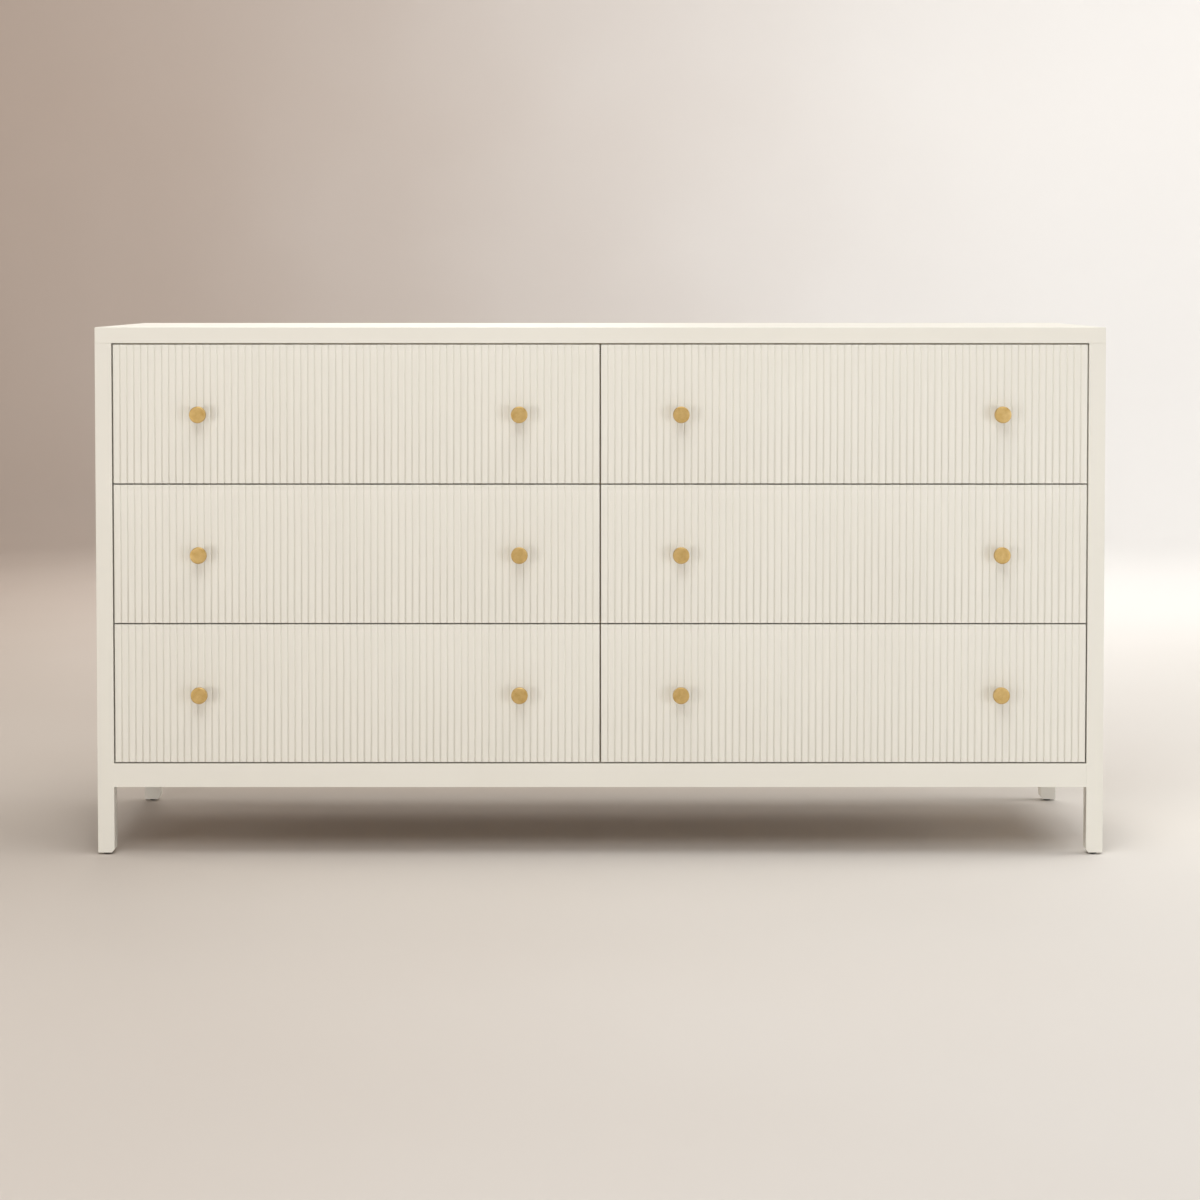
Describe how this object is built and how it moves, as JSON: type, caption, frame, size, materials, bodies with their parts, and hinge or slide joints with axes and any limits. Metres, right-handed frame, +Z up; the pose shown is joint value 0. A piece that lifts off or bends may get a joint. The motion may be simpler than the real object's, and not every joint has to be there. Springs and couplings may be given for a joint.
{
  "type": "dresser with drawers",
  "caption": "Low wide dresser on slim square legs, with flush vertically reeded drawer fronts in two columns, round metal knobs and full-extension slides.",
  "frame": {"origin": "on the floor, under the centre of the object's bounding box with its knobs", "axes": "+Z up; -Y is the front, which the drawers open towards; +X is to the right seen from the front"},
  "size_m": [1.524, 0.484, 0.8],
  "materials": {
    "painted_wood": "satin cream lacquer",
    "carcass_board": "clear-sealed birch-faced board",
    "back_board": "clear-sealed thin plywood",
    "drawer_wood": "clear-sealed birch",
    "drawer_ply": "clear-sealed birch plywood",
    "dowel": "raw beech",
    "brass": "brushed and lacquered",
    "slide_steel": "bright zinc plate",
    "screw_steel": "zinc plate",
    "glide": "moulded"
  },
  "bodies": {
    "case": {"top_panel": "painted_wood", "post_front_left": "painted_wood", "post_front_right": "painted_wood", "post_rear_left": "painted_wood", "post_rear_right": "painted_wood", "side_panel_left": "painted_wood", "side_panel_right": "painted_wood", "rail_front": "painted_wood", "rail_rear": "painted_wood", "side_rails": "painted_wood", "centre_divider": "carcass_board", "bottom_panel": "carcass_board", "back_panel": "back_board", "top_stretchers": "carcass_board", "slides_case": "slide_steel", "foot_glides": "glide", "case_dowels": "dowel", "case_screws": "screw_steel"},
    "drawer_top_left": {"drawer_top_left_front": "painted_wood", "drawer_top_left_box": "drawer_wood", "drawer_top_left_bottom": "drawer_ply", "drawer_top_left_knobs": "brass", "drawer_top_left_screws": "screw_steel", "drawer_top_left_slide_inner": "slide_steel"},
    "runners_top_left": {"drawer_top_left_slide_mid": "slide_steel"},
    "drawer_top_right": {"drawer_top_right_front": "painted_wood", "drawer_top_right_box": "drawer_wood", "drawer_top_right_bottom": "drawer_ply", "drawer_top_right_knobs": "brass", "drawer_top_right_screws": "screw_steel", "drawer_top_right_slide_inner": "slide_steel"},
    "runners_top_right": {"drawer_top_right_slide_mid": "slide_steel"},
    "drawer_middle_left": {"drawer_middle_left_front": "painted_wood", "drawer_middle_left_box": "drawer_wood", "drawer_middle_left_bottom": "drawer_ply", "drawer_middle_left_knobs": "brass", "drawer_middle_left_screws": "screw_steel", "drawer_middle_left_slide_inner": "slide_steel"},
    "runners_middle_left": {"drawer_middle_left_slide_mid": "slide_steel"},
    "drawer_middle_right": {"drawer_middle_right_front": "painted_wood", "drawer_middle_right_box": "drawer_wood", "drawer_middle_right_bottom": "drawer_ply", "drawer_middle_right_knobs": "brass", "drawer_middle_right_screws": "screw_steel", "drawer_middle_right_slide_inner": "slide_steel"},
    "runners_middle_right": {"drawer_middle_right_slide_mid": "slide_steel"},
    "drawer_bottom_left": {"drawer_bottom_left_front": "painted_wood", "drawer_bottom_left_box": "drawer_wood", "drawer_bottom_left_bottom": "drawer_ply", "drawer_bottom_left_knobs": "brass", "drawer_bottom_left_screws": "screw_steel", "drawer_bottom_left_slide_inner": "slide_steel"},
    "runners_bottom_left": {"drawer_bottom_left_slide_mid": "slide_steel"},
    "drawer_bottom_right": {"drawer_bottom_right_front": "painted_wood", "drawer_bottom_right_box": "drawer_wood", "drawer_bottom_right_bottom": "drawer_ply", "drawer_bottom_right_knobs": "brass", "drawer_bottom_right_screws": "screw_steel", "drawer_bottom_right_slide_inner": "slide_steel"},
    "runners_bottom_right": {"drawer_bottom_right_slide_mid": "slide_steel"}
  },
  "joints": [
    {"name": "drawer_top_left_slide", "type": "slide", "parent": "case", "child": "drawer_top_left", "axis": [0, -1, 0], "range_m": [0, 0.4]},
    {"name": "runners_top_left_slide", "type": "slide", "parent": "case", "child": "runners_top_left", "axis": [0, -1, 0], "range_m": [0, 0.2]},
    {"name": "drawer_top_right_slide", "type": "slide", "parent": "case", "child": "drawer_top_right", "axis": [0, -1, 0], "range_m": [0, 0.4]},
    {"name": "runners_top_right_slide", "type": "slide", "parent": "case", "child": "runners_top_right", "axis": [0, -1, 0], "range_m": [0, 0.2]},
    {"name": "drawer_middle_left_slide", "type": "slide", "parent": "case", "child": "drawer_middle_left", "axis": [0, -1, 0], "range_m": [0, 0.4]},
    {"name": "runners_middle_left_slide", "type": "slide", "parent": "case", "child": "runners_middle_left", "axis": [0, -1, 0], "range_m": [0, 0.2]},
    {"name": "drawer_middle_right_slide", "type": "slide", "parent": "case", "child": "drawer_middle_right", "axis": [0, -1, 0], "range_m": [0, 0.4]},
    {"name": "runners_middle_right_slide", "type": "slide", "parent": "case", "child": "runners_middle_right", "axis": [0, -1, 0], "range_m": [0, 0.2]},
    {"name": "drawer_bottom_left_slide", "type": "slide", "parent": "case", "child": "drawer_bottom_left", "axis": [0, -1, 0], "range_m": [0, 0.4]},
    {"name": "runners_bottom_left_slide", "type": "slide", "parent": "case", "child": "runners_bottom_left", "axis": [0, -1, 0], "range_m": [0, 0.2]},
    {"name": "drawer_bottom_right_slide", "type": "slide", "parent": "case", "child": "drawer_bottom_right", "axis": [0, -1, 0], "range_m": [0, 0.4]},
    {"name": "runners_bottom_right_slide", "type": "slide", "parent": "case", "child": "runners_bottom_right", "axis": [0, -1, 0], "range_m": [0, 0.2]}
  ],
  "couplings": [
    {"joint": "runners_top_left_slide", "follows": "drawer_top_left_slide", "ratio": 0.5},
    {"joint": "runners_top_right_slide", "follows": "drawer_top_right_slide", "ratio": 0.5},
    {"joint": "runners_middle_left_slide", "follows": "drawer_middle_left_slide", "ratio": 0.5},
    {"joint": "runners_middle_right_slide", "follows": "drawer_middle_right_slide", "ratio": 0.5},
    {"joint": "runners_bottom_left_slide", "follows": "drawer_bottom_left_slide", "ratio": 0.5},
    {"joint": "runners_bottom_right_slide", "follows": "drawer_bottom_right_slide", "ratio": 0.5}
  ]
}
